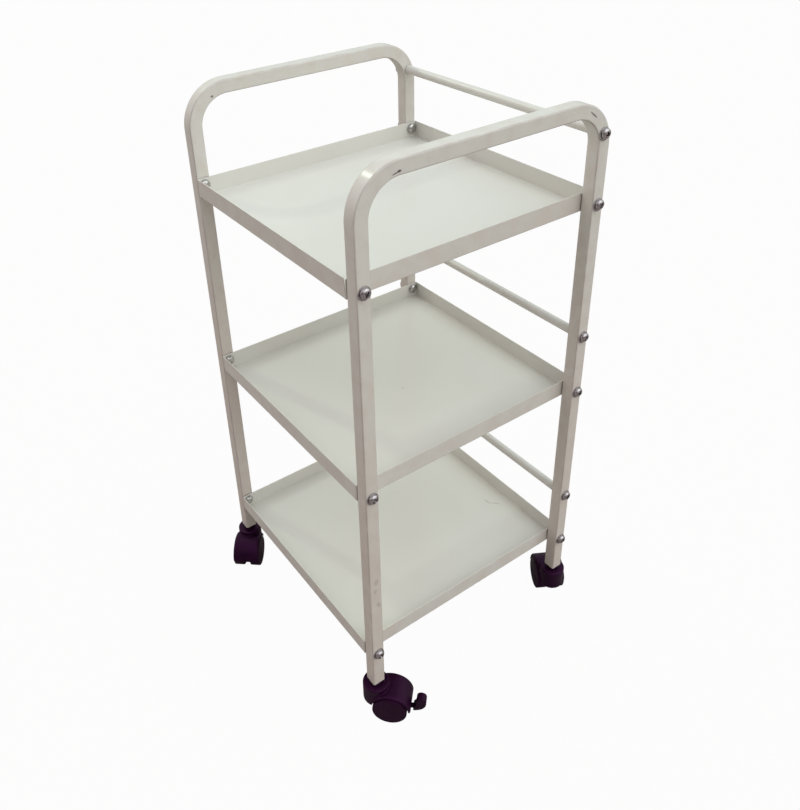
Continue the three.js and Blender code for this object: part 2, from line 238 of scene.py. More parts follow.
def as_mesh(bm, name):
    """The drawn shape as a mesh, its seams closed and its faces turned outward."""
    bmesh.ops.remove_doubles(bm, verts=bm.verts, dist=1e-5)
    bmesh.ops.recalc_face_normals(bm, faces=bm.faces)
    mesh = bpy.data.meshes.new(name)
    bm.to_mesh(mesh)
    bm.free()
    return mesh


def drawn(name, draw, *args):
    """The mesh that draw(bm, ...) makes."""
    bm = bmesh.new()
    draw(bm, *args)
    return as_mesh(bm, name)


def scratch(mesh):
    """A plain object that shows a mesh."""
    made = bpy.data.objects.new(mesh.name, mesh)
    bpy.context.scene.collection.objects.link(made)
    return made


def baked(obj):
    """The mesh of an object with its modifiers applied. The object is removed."""
    bpy.context.view_layer.update()
    graph = bpy.context.evaluated_depsgraph_get()
    mesh = bpy.data.meshes.new_from_object(obj.evaluated_get(graph))
    bpy.data.objects.remove(obj)
    return mesh


def combine(base, tools):
    """base with each (operation, mesh) applied in turn."""
    for operation, tool_mesh in tools:
        body, tool = scratch(base), scratch(tool_mesh)
        step = body.modifiers.new("cut", "BOOLEAN")
        step.operation = operation
        step.solver = "EXACT"
        step.object = tool
        base = baked(body)
        bpy.data.objects.remove(tool)
    return base


def moulded(mesh, voxel, rounds):
    """The same solid as one even skin with its edges and inner corners rounded."""
    body = scratch(mesh)
    remesh = body.modifiers.new("skin", "REMESH")
    remesh.mode = "VOXEL"
    remesh.voxel_size = voxel
    smooth = body.modifiers.new("soft", "SMOOTH")
    smooth.factor = 0.5
    smooth.iterations = rounds
    return baked(body)


def piece(node, mesh, material, body, placed, edge=0, sharp=SHARP_ANGLE):
    """One finished piece in place of a CAD node, riding on its body."""
    mesh = mesh.copy()
    mesh.transform(Matrix.Scale(MM, 4) @ placed)
    mesh.materials.clear()
    mesh.materials.append(material)
    for face in mesh.polygons:
        face.use_smooth = True
    made = bpy.data.objects.new(f"{node}_finished", mesh)
    bpy.context.scene.collection.objects.link(made)
    if edge:
        soften = made.modifiers.new("edges", "BEVEL")
        soften.width = edge * MM
        soften.segments = 2
        soften.limit_method = "ANGLE"
        soften.angle_limit = math.radians(BEVEL_ANGLE)
    mesh.set_sharp_from_angle(angle=math.radians(sharp))
    even = made.modifiers.new("even", "WEIGHTED_NORMAL")
    even.keep_sharp = True
    even.weight = 80
    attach(made, body)
    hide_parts(node)
    return made


# ---- material helpers -----------------------------------------------------------------------
NOISE_SPREAD = (0.3, 0.7)         # nearly all of a noise texture's values lie between these


class Nodes:
    """Adds and links the nodes of one tree. A value is a number, a colour or a node's output."""

    def __init__(self, tree):
        self.nodes = tree.nodes
        self.links = tree.links

    def add(self, kind, **settings):
        node = self.nodes.new(kind)
        for key, value in settings.items():
            setattr(node, key, value)
        return node

    def feed(self, socket, value):
        if isinstance(value, bpy.types.NodeSocket):
            self.links.new(value, socket)
        elif value is not None:
            socket.default_value = value

    def maths(self, operation, first, second=0.0, third=0.0):
        made = self.add("ShaderNodeMath", operation=operation)
        for socket, value in zip(made.inputs, (first, second, third)):
            self.feed(socket, value)
        return made.outputs["Value"]

    def vector(self, operation, first, second=None):
        made = self.add("ShaderNodeVectorMath", operation=operation)
        self.feed(made.inputs[0], first)
        self.feed(made.inputs["Scale" if operation == "SCALE" else 1], second)
        return made.outputs["Value" if operation in ("DOT_PRODUCT", "LENGTH") else "Vector"]

    def mix(self, factor, first, second):
        made = self.add("ShaderNodeMix", data_type="RGBA")
        self.feed(made.inputs[0], factor)
        for socket, value in ((made.inputs[6], first), (made.inputs[7], second)):
            self.feed(socket, (*value, 1) if isinstance(value, tuple) else value)
        return made.outputs[2]


class Shader(Nodes):
    """The nodes of one material. Keywords set the values that are the same all over it."""

    def __init__(self, name, **values):
        self.material = bpy.data.materials.new(name)
        self.material.use_nodes = True
        super().__init__(self.material.node_tree)
        self.surface = self.nodes["Principled BSDF"]
        for socket, value in values.items():
            self.surface.inputs[socket.replace("_", " ")].default_value = value
        self.place = self.add("ShaderNodeTexCoord").outputs["Object"]

    def set(self, name, value):
        self.feed(self.surface.inputs[name], value)

    def along(self, axis):
        """Metres along X, Y or Z, Z being the height above the floor."""
        parts = self.add("ShaderNodeSeparateXYZ")
        self.feed(parts.inputs[0], self.place)
        return parts.outputs[axis]

    def noise(self, scale, detail=3.0, rough=0.5, stretch=(1, 1, 1)):
        """Noise from 0 to 1 with features about 1/scale metres across."""
        spread = self.add("ShaderNodeMapping")
        self.feed(spread.inputs["Vector"], self.place)
        spread.inputs["Scale"].default_value = stretch
        made = self.add("ShaderNodeTexNoise")
        self.feed(made.inputs["Vector"], spread.outputs["Vector"])
        made.inputs["Scale"].default_value = scale
        made.inputs["Detail"].default_value = detail
        made.inputs["Roughness"].default_value = rough
        return made.outputs["Fac"]

    def span(self, value, low, high, to_low=0.0, to_high=1.0):
        """value from low..high brought to to_low..to_high, with soft ends."""
        made = self.add("ShaderNodeMapRange", interpolation_type="SMOOTHSTEP")
        self.feed(made.inputs["Value"], value)
        made.inputs["From Min"].default_value = low
        made.inputs["From Max"].default_value = high
        made.inputs["To Min"].default_value = to_low
        made.inputs["To Max"].default_value = to_high
        return made.outputs["Result"]

    def cloudy(self, scale, detail=3.0, rough=0.5, low=0.0, high=1.0):
        """Noise that wanders between low and high."""
        return self.span(self.noise(scale, detail, rough), *NOISE_SPREAD, low, high)

    def over(self, colour, top, mask, strength):
        """colour with top laid over it where mask is 1."""
        return self.mix(self.maths("MULTIPLY", mask, strength), colour, top)

    def bump(self, height, distance, strength, under=None):
        made = self.add("ShaderNodeBump")
        made.inputs["Strength"].default_value = strength
        made.inputs["Distance"].default_value = distance
        self.feed(made.inputs["Height"], height)
        self.feed(made.inputs["Normal"], under)
        return made.outputs["Normal"]

    def mark(self, centre, halves, turn, ragged=0.5):
        """1 inside a ragged ellipsoid about a point of the object, fading to 0 at its edge."""
        local = self.add("ShaderNodeMapping", vector_type="TEXTURE")
        self.feed(local.inputs["Vector"], self.place)
        local.inputs["Location"].default_value = centre
        local.inputs["Rotation"].default_value = turn
        local.inputs["Scale"].default_value = halves
        reach = self.vector("LENGTH", local.outputs["Vector"])
        torn = self.maths("MULTIPLY_ADD", self.noise(900, 4), ragged, reach)
        return self.span(torn, 0.75 + ragged / 2, 1.15 + ragged / 2, 1.0, 0.0)

    def edges(self, radius):
        """1 on convex and concave edges, from how far a rounded normal leans off the true one."""
        rounded = self.add("ShaderNodeBevel", samples=4)
        rounded.inputs["Radius"].default_value = radius
        true = self.add("ShaderNodeNewGeometry").outputs["Normal"]
        return self.span(self.vector("DOT_PRODUCT", rounded.outputs["Normal"], true), 0.999, 0.93)

    def tube_edges(self, line):
        """1 on the rounded corners of the square tubes that run at X = -line and X = line."""
        from_line = self.maths("SUBTRACT", self.maths("ABSOLUTE", self.along("X")), line)
        off = self.maths("ABSOLUTE", from_line)
        face, corner = TUBE / 2 * MM, TUBE_CORNER * MM
        rising = self.span(off, face - 0.9 * corner, face - 0.4 * corner)
        falling = self.span(off, face - 0.2 * corner, face - 0.02 * corner, 1, 0)
        return self.maths("MULTIPLY", rising, falling)

    def nooks(self, distance):
        """1 in tight corners and beside fittings, 0 on open faces, from ambient occlusion; it masks
        the painted shade there.
        """
        made = self.add("ShaderNodeAmbientOcclusion", samples=6, only_local=False)
        made.inputs["Distance"].default_value = distance
        return self.span(made.outputs["AO"], 0.95, 0.25)


# ---- materials ------------------------------------------------------------------------------
# Colours, and how strongly each layer covers the ones below it: 0 is not at all, 1 fully.
PAINT = (0.735, 0.722, 0.672)
PAINT_SHADE = (0.690, 0.668, 0.612)
SHADE_COVER = 0.30
MOTTLE_COVER = 0.05
PAINT_WARM = (0.560, 0.430, 0.370)        # warmer, darker paint: towards the floor on the legs, in blotches, and on the trays' outer sides
WARM_HEIGHTS = (0.84, 0.25)               # metres above the floor: where it starts and is full
FRAME_WARM_COVER = 0.42
BLOTCH_COVER = 0.4                        # as a share of the warm paint's own cover
OUTER_TINT_COVER = (0.10, 0.30)              # on the outer sides of the trays
# painted reflection: a dark pinkish line along the square tubes' rounded corners, patchy with noise
EDGE_REFLECTION = (0.330, 0.235, 0.240)
EDGE_REFLECTION_COVER = (0.12, 0.42)
# dark colour for real grime specks and stains, and for the painted shade in corners and beside
# fittings
PAINT_GRIME_AND_SHADE = (0.200, 0.140, 0.120)
CORNER_SHADE_COVER = 0.8
TRAY_CORNER_SHADE_COVER = 0.35
SPECK_COVER = 0.20
PAINT_WORN = (0.42, 0.38, 0.34)
WORN_COVER = 0.35
BARE_STEEL = (0.075, 0.062, 0.058)
FRAME_TINT = (0.995, 0.985, 0.980)        # the frames' batch of paint is a little darker
PAINT_ROUGHNESS = (0.235, 0.265)
CHIP_ROUGHNESS = 0.55
CHIP_DEPTH = 2.5                          # against the height of the orange peel
SMUDGE_RAGGED = 1.4
ORANGE_PEEL = (0.00003, 0.4)              # a relief's depth in metres, and its strength
PAINT_WAVES = (0.0005, 0.06)

SCREW_ZINC = (0.56, 0.52, 0.54)
NUT_ZINC = (0.56, 0.54, 0.53)
ZINC_CLOUD = 0.66                         # brightness of the clouded patches
# painted shade on the fasteners, laid where ambient occlusion finds other parts close by
ZINC_SHADE = (0.040, 0.028, 0.034)
ZINC_SHADE_COVER = 0.9
ZINC_SCRATCH = (0.16, 0.15, 0.15)
SCRATCH_COVER = 0.4
ZINC_ROUGHNESS = (0.13, 0.30)
ZINC_GRAIN = (0.00004, 0.5)

PLASTIC_IOR = 1.31
PLASTIC_SHEEN = (1.0, 0.36, 0.95, 1.0)
PLASTIC_CLOUD = 1.5
PLASTIC_DUST = (0.040, 0.021, 0.039)
RUBBED_COVER = 0.4
DUST_COVER = 0.2
FINE_GRAIN = (0.00003, 0.5)

STEEL_LIGHT = (0.52, 0.51, 0.50)
STEEL_DARK = (0.34, 0.33, 0.33)
STEEL_ROUGHNESS = (0.24, 0.40)


def powder_coat(name, chips=(), smudges=(), tint=(1, 1, 1), warm_cover=0.0, tube_line=0.0, outside=None,
                corner_shade=CORNER_SHADE_COVER):
    """Semi-gloss stoved paint: fine orange peel, uneven tone, painted shade in corners and beside
    fittings, a painted dark reflection along the tubes' rounded corners, grime specks and stains, a
    few chips.

    tube_line is the X of the square tubes. outside is the centre and half size of the trays along
    X and along Y. Both are in metres.
    """
    paint, shade = (tuple(a * b for a, b in zip(c, tint)) for c in (PAINT, PAINT_SHADE))
    s = Shader(name, IOR=1.5)
    colour = s.over(paint, shade, s.cloudy(7, 3, 0.55), SHADE_COVER)
    colour = s.over(colour, shade, s.span(s.noise(160, 4, 0.6), 0.35, 0.65), MOTTLE_COVER)
    if warm_cover:
        # the legs' paint turns warmer and darker towards the floor, patchily
        low_down = s.span(s.along("Z"), *WARM_HEIGHTS)
        patchy = s.cloudy(11, 4, 0.6, 0.6, 1.0)
        colour = s.over(colour, PAINT_WARM, s.maths("MULTIPLY", low_down, patchy), warm_cover)
        blotches = s.span(s.noise(55, 4, 0.55), 0.40, 0.68)
        colour = s.over(colour, PAINT_WARM, blotches, BLOTCH_COVER * warm_cover)
    if outside:
        sides = []
        for axis, (centre, reach) in zip("XY", outside):
            off = s.maths("ABSOLUTE", s.maths("SUBTRACT", s.along(axis), centre))
            sides.append(s.span(off, reach - 0.0006, reach - 0.0002))
        # a warmer, darker tint on the trays' outer sides, patchy with noise
        outer_tint = s.cloudy(40, 4, 0.6, *OUTER_TINT_COVER)
        colour = s.over(colour, PAINT_WARM, s.maths("MAXIMUM", *sides), outer_tint)
    # painted dark reflection along the tubes' rounded corners
    if tube_line:
        reflection_strength = s.span(s.noise(30, 4, 0.6), 0.3, 0.6, *EDGE_REFLECTION_COVER)
        colour = s.over(colour, EDGE_REFLECTION, s.tube_edges(tube_line), reflection_strength)
    # painted shade: darker paint where ambient occlusion finds corners and fittings close by,
    # patchy with noise
    patchy_shade = s.span(s.noise(60, 3), 0.2, 0.7, 0.5 * corner_shade, corner_shade)
    colour = s.over(colour, PAINT_GRIME_AND_SHADE, s.nooks(0.0018), patchy_shade)
    worn = s.maths("MULTIPLY", s.edges(0.0009), s.span(s.noise(75, 5, 0.6), 0.62, 0.72))
    colour = s.over(colour, PAINT_WORN, worn, WORN_COVER)
    specks = s.span(s.noise(520, 2, 0.4), 0.76, 0.82)
    colour = s.over(colour, PAINT_GRIME_AND_SHADE, specks, SPECK_COVER)
    rough = s.cloudy(24, 3, 0.5, *PAINT_ROUGHNESS)
    relief = s.noise(420, 2, 0.4)
    for centre, halves, turn, strength in smudges:
        stain = s.mark(centre, halves, turn, SMUDGE_RAGGED)
        colour = s.over(colour, PAINT_GRIME_AND_SHADE, stain, strength)
    for centre, halves, turn, strength in chips:
        chip = s.maths("MULTIPLY", s.mark(centre, halves, turn), strength)
        colour = s.mix(chip, colour, BARE_STEEL)
        rough = s.maths("MAXIMUM", rough, s.maths("MULTIPLY", chip, CHIP_ROUGHNESS))
        relief = s.maths("SUBTRACT", relief, s.maths("MULTIPLY", chip, CHIP_DEPTH))
    s.set("Base Color", colour)
    s.set("Roughness", rough)
    s.set("Normal", s.bump(relief, *ORANGE_PEEL, s.bump(s.noise(14, 2), *PAINT_WAVES)))
    return s.material


def zinc(name, tint):
    """Bright zinc-plated steel, slightly clouded, with painted shade where other parts come close,
    and handling marks.
    """
    s = Shader(name, Metallic=1.0)
    colour = s.mix(s.cloudy(420, 4, 0.6), tint, tuple(ZINC_CLOUD * c for c in tint))
    # painted shade: darker zinc where ambient occlusion finds the washer, head or wall close by
    colour = s.over(colour, ZINC_SHADE, s.nooks(0.0030), ZINC_SHADE_COVER)
    scratches = s.span(s.noise(1500, 3, 0.6, (1, 6, 1)), 0.60, 0.72)
    s.set("Base Color", s.over(colour, ZINC_SCRATCH, scratches, SCRATCH_COVER))
    s.set("Roughness", s.cloudy(700, 4, 0.6, *ZINC_ROUGHNESS))
    s.set("Normal", s.bump(s.noise(900, 3), *ZINC_GRAIN))
    return s.material


def black_plastic(name, base, roughness, grain=2200):
    """Satin black moulding: a fine spark-eroded grain, paler rubbed edges and a little dust."""
    s = Shader(name, IOR=PLASTIC_IOR, Specular_Tint=PLASTIC_SHEEN)
    colour = s.mix(s.cloudy(45, 4, 0.6), base, tuple(PLASTIC_CLOUD * c for c in base))
    rubbed = s.maths("MULTIPLY", s.edges(0.0008), s.span(s.noise(260, 4), 0.4, 0.7))
    colour = s.over(colour, PLASTIC_DUST, rubbed, RUBBED_COVER)
    dust = s.span(s.noise(330, 6, 0.7), 0.5, 0.72)
    s.set("Base Color", s.over(colour, PLASTIC_DUST, dust, DUST_COVER))
    s.set("Roughness", s.cloudy(90, 4, 0.6, *roughness))
    s.set("Normal", s.bump(s.noise(grain, 2, 0.5), *FINE_GRAIN))
    return s.material


def brushed_steel(name):
    s = Shader(name, Metallic=1.0)
    lines = s.noise(3000, 3, 0.6, (1, 1, 0.05))
    s.set("Base Color", s.mix(lines, STEEL_LIGHT, STEEL_DARK))
    s.set("Roughness", s.span(lines, *NOISE_SPREAD, *STEEL_ROUGHNESS))
    s.set("Normal", s.bump(lines, *FINE_GRAIN))
    return s.material


# ---- frames and rods ------------------------------------------------------------------------
def rounded_square(half, corner):
    """A rounded square's points, counter-clockwise, as (across, out) pairs."""
    points = []
    flat = half - corner
    for quarter, (side, out) in enumerate(((1, 1), (-1, 1), (-1, -1), (1, -1))):
        start = 90 * quarter
        points += arc((side * flat, out * flat), corner, start, start + 90, CORNER_STEPS)
    return points


def tube_stations():
    """Centre line of one frame, as (y, z, outward angle), from the front foot over the handle."""
    bend_y = HALF_DEPTH - BEND_RADIUS
    bend_z = FRAME_TOP - BEND_RADIUS
    line = BEND_RADIUS - TUBE / 2
    stations = [(-HALF_DEPTH + TUBE / 2, LEG_FOOT, 180)]
    for y, start in ((-bend_y, 180), (bend_y, 90)):
        for i in range(BEND_STEPS + 1):
            turn = start - 90 * i / BEND_STEPS
            angle = math.radians(turn)
            stations.append((y + line * math.cos(angle), bend_z + line * math.sin(angle), turn))
    stations.append((HALF_DEPTH - TUBE / 2, LEG_FOOT, 0))
    return stations


def draw_frame(bm):
    skins = []
    for inset in (0, TUBE_WALL):
        rows = []
        for y, z, turn in tube_stations():
            out_y, out_z = math.cos(math.radians(turn)), math.sin(math.radians(turn))
            section = rounded_square(TUBE / 2 - inset, TUBE_CORNER - inset)
            rows.append([bm.verts.new((a, y + b * out_y, z + b * out_z)) for a, b in section])
        skin(bm, rows)
        skins.append(rows)
    for end in (0, -1):
        skin(bm, [skins[0][end], skins[1][end]])


def draw_rod(bm, half_length, radius):
    turned(bm, [
        (0, -half_length + TAP_DEPTH), (TAP_RADIUS, -half_length + TAP_DEPTH),
        (TAP_RADIUS, -half_length), (radius - ROD_EDGE, -half_length),
        (radius, -half_length + ROD_EDGE), (radius, half_length - ROD_EDGE),
        (radius - ROD_EDGE, half_length), (TAP_RADIUS, half_length),
        (TAP_RADIUS, half_length - TAP_DEPTH), (0, half_length - TAP_DEPTH),
    ], ROD_SIDES)


# ---- trays ----------------------------------------------------------------------------------
def draw_tray(bm, half_x, half_y, height, open_slit):
    """The outer skin of a folded tray: its floor and four walls on rounded folds.

    The side walls run the full depth. The front and rear walls stop short of them, and the front
    right seam has its own opening.
    """
    floor = []
    for side in range(4):
        turn = math.radians(90 * side)
        cos, sin = round(math.cos(turn)), round(math.sin(turn))
        if side % 2 == 0:
            reach, width = half_x, half_y
            fold_end = width - SIDE_FOLD_SHORT
            ends = ((width, width), (width, width))
        else:
            reach, width = half_y, half_x
            fold_end = width - TRAY_FOLD - RELIEF
            right = open_slit if side == 3 else SLIT
            ends = [(width - SHEET - a, width - SHEET - b) for a, b in zip(SLIT, right)]

        def vertex(out, along, z):
            return bm.verts.new((out * cos - along * sin, out * sin + along * cos, z))

        rows = []
        for out, z in arc((reach - TRAY_FOLD, TRAY_FOLD), TRAY_FOLD, -90, 0, FOLD_STEPS):
            rows.append([vertex(out, along, z) for along in (-fold_end, fold_end)])
        skin(bm, rows, closed_ring=False)
        floor += rows[0]
        wall = [rows[-1]]
        for z, (near, far) in ((TRAY_FOLD + RELIEF, ends[0]), (height, ends[1])):
            inner = min(fold_end, near, far)
            wall.append([vertex(reach, along, z) for along in (-near, -inner, inner, far)])
        low, high = wall[1], wall[2]
        # A quad and two triangles join the fold to the wall, which is wider.
        bm.faces.new((wall[0][0], wall[0][1], low[2], low[1]))
        bm.faces.new((wall[0][0], low[1], low[0]))
        bm.faces.new((wall[0][1], low[3], low[2]))
        skin(bm, [low, high], closed_ring=False)
    bm.faces.new(floor)


def make_tray(level, material):
    low, high = box_mm(f"{level}_tray")
    height = high.z - low.z
    half_x = (high.x - low.x) / 2 - TRAY_CLEARANCE
    half_y = (high.y - low.y) / 2
    open_slit = OPEN_SLITS.get(level, SLIT)
    body = scratch(drawn("tray", draw_tray, half_x, half_y, height, open_slit))
    thick = body.modifiers.new("sheet", "SOLIDIFY")
    thick.thickness = SHEET
    thick.offset = -1
    thick.use_even_offset = True
    mesh = baked(body)
    centre = Vector(((low.x + high.x) / 2, (low.y + high.y) / 2, low.z))
    piece(f"{level}_tray", mesh, material, "chassis",
          Matrix.Translation(centre), edge=RIM_SOFTNESS)


# ---- fasteners ------------------------------------------------------------------------------
def dome(radius, low, high, roundness, steps):
    """A domed top's profile, without its last point on the axis."""
    turns = [math.pi / 2 * i / steps for i in range(steps)]
    return [(radius * math.cos(t) ** roundness, low + (high - low) * math.sin(t)) for t in turns]


def draw_screw(bm):
    """Domed screw with the leg's face at z = 0 and room for its washer under the head."""
    turned(bm, [
        (0, -SHANK_LENGTH), (SHANK_RADIUS - SHANK_CHAMFER, -SHANK_LENGTH),
        (SHANK_RADIUS, -SHANK_LENGTH + SHANK_CHAMFER), (SHANK_RADIUS, WASHER_THICKNESS),
        (HEAD_RADIUS - FASTENER_EDGE, WASHER_THICKNESS),
        (HEAD_RADIUS, WASHER_THICKNESS + FASTENER_EDGE),
        *dome(HEAD_RADIUS, WASHER_THICKNESS + HEAD_SKIRT, HEAD_TOP, HEAD_ROUNDNESS, HEAD_STEPS),
        (0, HEAD_TOP),
    ])


def draw_washer(bm):
    turned(bm, [
        (WASHER_BORE, 0), (WASHER_RADIUS - WASHER_EDGE, 0), (WASHER_RADIUS, WASHER_EDGE),
        (WASHER_RADIUS, WASHER_THICKNESS - WASHER_EDGE),
        (WASHER_RADIUS - WASHER_EDGE, WASHER_THICKNESS), (WASHER_BORE, WASHER_THICKNESS),
    ], hollow=True)


def draw_recess(bm):
    """A cross that narrows towards its foot."""
    rows = []
    for z, share in zip((HEAD_TOP - RECESS_DEPTH, HEAD_TOP + 1), RECESS_SHARES):
        reach, half = RECESS_REACH * share, RECESS_HALF * (0.6 + 0.4 * share)
        wing = [(reach, -half), (reach, half), (half, half)]
        row = []
        for quarter in range(4):
            turn = Matrix.Rotation(math.pi / 2 * quarter, 2)
            row += [bm.verts.new((*(turn @ Vector(p)), z)) for p in wing]
        rows.append(row)
    skin(bm, rows)
    bm.faces.new(rows[0])
    bm.faces.new(rows[-1])


def moved(mesh, matrix):
    made = mesh.copy()
    made.transform(matrix)
    return made


def rolled(mesh):
    """A fastener turned about its own axis to wherever the driver left it."""
    return moved(mesh, Matrix.Rotation(dice.uniform(0, math.pi), 4, "Z"))


def joined(*meshes):
    bm = bmesh.new()
    for mesh in meshes:
        bm.from_mesh(mesh)
    made = bpy.data.meshes.new(meshes[0].name)
    bm.to_mesh(made)
    bm.free()
    return made


def screw_mesh():
    return combine(drawn("screw", draw_screw), [("DIFFERENCE", drawn("recess", draw_recess))])


def draw_cap_nut(bm):
    """Domed cap nut with its seat at z = 0 and a blind thread."""
    turned(bm, [
        (0, NUT_THREAD), (TAP_RADIUS, NUT_THREAD), (TAP_RADIUS, 0),
        (NUT_RADIUS - FASTENER_EDGE, 0), (NUT_RADIUS, FASTENER_EDGE),
        *dome(NUT_RADIUS, NUT_SKIRT, NUT_HEIGHT, NUT_ROUNDNESS, NUT_STEPS),
        (0, NUT_HEIGHT),
    ])


def facing(node, outward_x):
    """Lays a fastener drawn up Z along X, level with a CAD fastener. Also gives the CAD box."""
    low, high = box_mm(node)
    centre = (low + high) / 2
    turn = Matrix.Rotation(math.pi / 2 * outward_x, 4, "Y")
    return Matrix.Translation((0, centre.y, centre.z)) @ turn, low, high


def make_fasteners(screw_paint, nut_paint):
    screw, washer = screw_mesh(), drawn("washer", draw_washer)
    nut = drawn("cap_nut", draw_cap_nut)
    for level in LEVELS:
        for hand, side in (("left", -1), ("right", 1)):
            names = [f"{level}_rod_screw_{hand}"]
            names += [f"{level}_tray_screw_{end}_{hand}" for end in ("front", "rear")]
            for name in names:
                placed, low, high = facing(name, side)
                seat = (high.x - HEAD_TOP) if side > 0 else (low.x + HEAD_TOP)
                hanging = moved(washer, Matrix.Translation((WASHER_DROOP * side, 0, 0)))
                piece(name, joined(rolled(screw), hanging), screw_paint, "chassis",
                      Matrix.Translation((seat, 0, 0)) @ placed)
            for end in ("front", "rear"):
                name = f"{level}_cap_nut_{end}_{hand}"
                placed, low, high = facing(name, -side)
                seat = (high.x if side > 0 else low.x) - side * TRAY_CLEARANCE
                piece(name, rolled(nut), nut_paint, "chassis",
                      Matrix.Translation((seat, 0, 0)) @ placed)


# ---- casters --------------------------------------------------------------------------------
# A caster is drawn about its swivel axis, z from the floor, trailing along +X, its axle along Y.
AXLE = (CASTER_TRAIL, WHEEL_RADIUS)


def along_y(mesh, x, z):
    """Lays a mesh that was turned about Z along Y, on the line at x and z."""
    mesh.transform(Matrix.Translation((x, 0, z)) @ Matrix.Rotation(-math.pi / 2, 4, "X"))
    return mesh


def cylinder(radius, low, high, sides=TURNED_SIDES):
    return drawn("cylinder", turned, [(0, low), (radius, low), (radius, high), (0, high)], sides)


def draw_cover(bm):
    """The hood's band as a solid sector with rounded shoulders."""
    def sector(inset):
        return arc(AXLE, HOOD_RADIUS - inset, *HOOD_LIPS, 40)

    leans = [math.pi / 2 * i / 6 for i in range(6, -1, -1)]
    rounding = [(HOOD_HALF - HOOD_SHOULDER * (1 - math.sin(lean)),
                 HOOD_SHOULDER * (1 - math.cos(lean))) for lean in leans]
    stations = [(-y, inset) for y, inset in rounding] + rounding[::-1]
    slab(bm, sector, stations)


def draw_web(bm):
    """The wall between the wheels, a hub round the axle that widens up into the hood."""
    x, z = AXLE
    top = z + 2 * WEB_HUB
    foot = arc(AXLE, WEB_HUB, 180, 360, 20)
    plate(bm, [*foot, (x + WEB_HUB, top), (x - WEB_HUB, top)], WEB_HALF)


def draw_pocket(bm):
    """Room behind the web for the brake pedal's arm."""
    plate(bm, arc(AXLE, WELL_RADIUS, -POCKET_REACH, POCKET_REACH, 24), ARM_HALF + GAP)


def hood_mesh():
    boss = drawn("boss", turned, [
        (0, BOSS_FOOT), (BOSS_RADIUS, BOSS_FOOT), (BOSS_RADIUS, BOSS_TOP - BOSS_EDGE),
        *arc((BOSS_RADIUS - BOSS_EDGE, BOSS_TOP - BOSS_EDGE), BOSS_EDGE, 15, 90, 5),
        (0, BOSS_TOP),
    ], ROUND_SIDES)
    reach = 2 * HOOD_HALF
    wells = [along_y(cylinder(WELL_RADIUS, low, high, ROUND_SIDES), *AXLE)
             for low, high in ((WEB_HALF, reach), (-reach, -WEB_HALF))]
    cuts = [
        *wells,
        drawn("pocket", draw_pocket),
        cylinder(STEM_RADIUS + GAP, STEM_FOOT - GAP, 2 * BOSS_TOP),
        along_y(cylinder(AXLE_RADIUS + GAP, -reach, reach), *AXLE),
    ]
    tools = [("UNION", boss), ("UNION", drawn("web", draw_web))]
    tools += [("DIFFERENCE", cut) for cut in cuts]
    return moulded(combine(drawn("hood", draw_cover), tools), *HOOD_SKIN)


def draw_wheel(bm):
    """The wheel on the +Y side: tread, rounded shoulder and a plain crowned face."""
    flat = WHEEL_RADIUS - WHEEL_SHOULDER
    edge = WHEEL_OUTER - WHEEL_CROWN
    shoulder = arc((flat, edge - WHEEL_SHOULDER), WHEEL_SHOULDER, 0, 90, 8)
    face = [(flat * (1 - i / 8), WHEEL_OUTER - WHEEL_CROWN * (1 - i / 8) ** 2) for i in range(1, 8)]
    near, far = WHEEL_GROOVE
    groove = WHEEL_INNER + GROOVE_DEPTH
    turned(bm, [
        (0, WHEEL_OUTER - WHEEL_CAP), (WHEEL_BORE, WHEEL_OUTER - WHEEL_CAP),
        (WHEEL_BORE, WHEEL_INNER), (near, WHEEL_INNER), (near + GROOVE_SLOPE, groove),
        (far - GROOVE_SLOPE, groove), (far, WHEEL_INNER),
        (WHEEL_RADIUS - WHEEL_CHAMFER, WHEEL_INNER), (WHEEL_RADIUS, WHEEL_INNER + WHEEL_CHAMFER),
        *shoulder, *face, (0, WHEEL_OUTER),
    ], WHEEL_SIDES)


def draw_axle(bm):
    reach = WHEEL_OUTER - WHEEL_CAP - GAP
    tip = AXLE_RADIUS - AXLE_CHAMFER
    turned(bm, [
        (0, -reach), (tip, -reach), (AXLE_RADIUS, -reach + AXLE_CHAMFER),
        (AXLE_RADIUS, reach - AXLE_CHAMFER), (tip, reach), (0, reach),
    ])


def draw_stem(bm):
    """Steel stem, bearing collar and the socket that plugs the leg."""
    foot = BOSS_TOP + GAP
    seat = LEG_FOOT - GAP
    top = LEG_FOOT + SOCKET_LENGTH
    neck = COLLAR_RADIUS - COLLAR_EDGE
    groove = [BOSS_TOP + rise for rise in COLLAR_GROOVE]
    turned(bm, [
        (0, STEM_FOOT), (STEM_RADIUS - STEM_CHAMFER, STEM_FOOT),
        (STEM_RADIUS, STEM_FOOT + STEM_CHAMFER), (STEM_RADIUS, foot), (neck, foot),
        (COLLAR_RADIUS, foot + COLLAR_EDGE), (COLLAR_RADIUS, groove[0]), (neck, groove[1]),
        (neck, groove[2]), (COLLAR_RADIUS, groove[3]), (COLLAR_RADIUS, seat - COLLAR_EDGE),
        (neck, seat), (SOCKET_RADIUS, seat), (SOCKET_RADIUS, top - SOCKET_TAPER),
        (SOCKET_RADIUS - SOCKET_TAPER, top), (0, top + SOCKET_TAPER),
    ])


def pedal_outline():
    """The pedal's side: down from the pivot, out under the hood, and up to a round thumb pad."""
    under = curve((38, 19), (38.5, 13.5), (45, 13.5)) + curve((56, 13.8), (70.5, 17), (72.8, 29))
    pad = arc(PAD_CENTRE, PAD_RADIUS, 0, 180, 14)
    inside = curve((58.4, 30), (57.5, 19), (52, 18.6))
    inside += curve((45.5, 18.6), (44.5, 18.6), (44.5, 20))
    ear = arc(PEDAL_PIVOT, EAR_RADIUS, 17, 163, 10)
    return [(37.5, 34), *under, *pad, *inside, (44, 36.5), *ear]


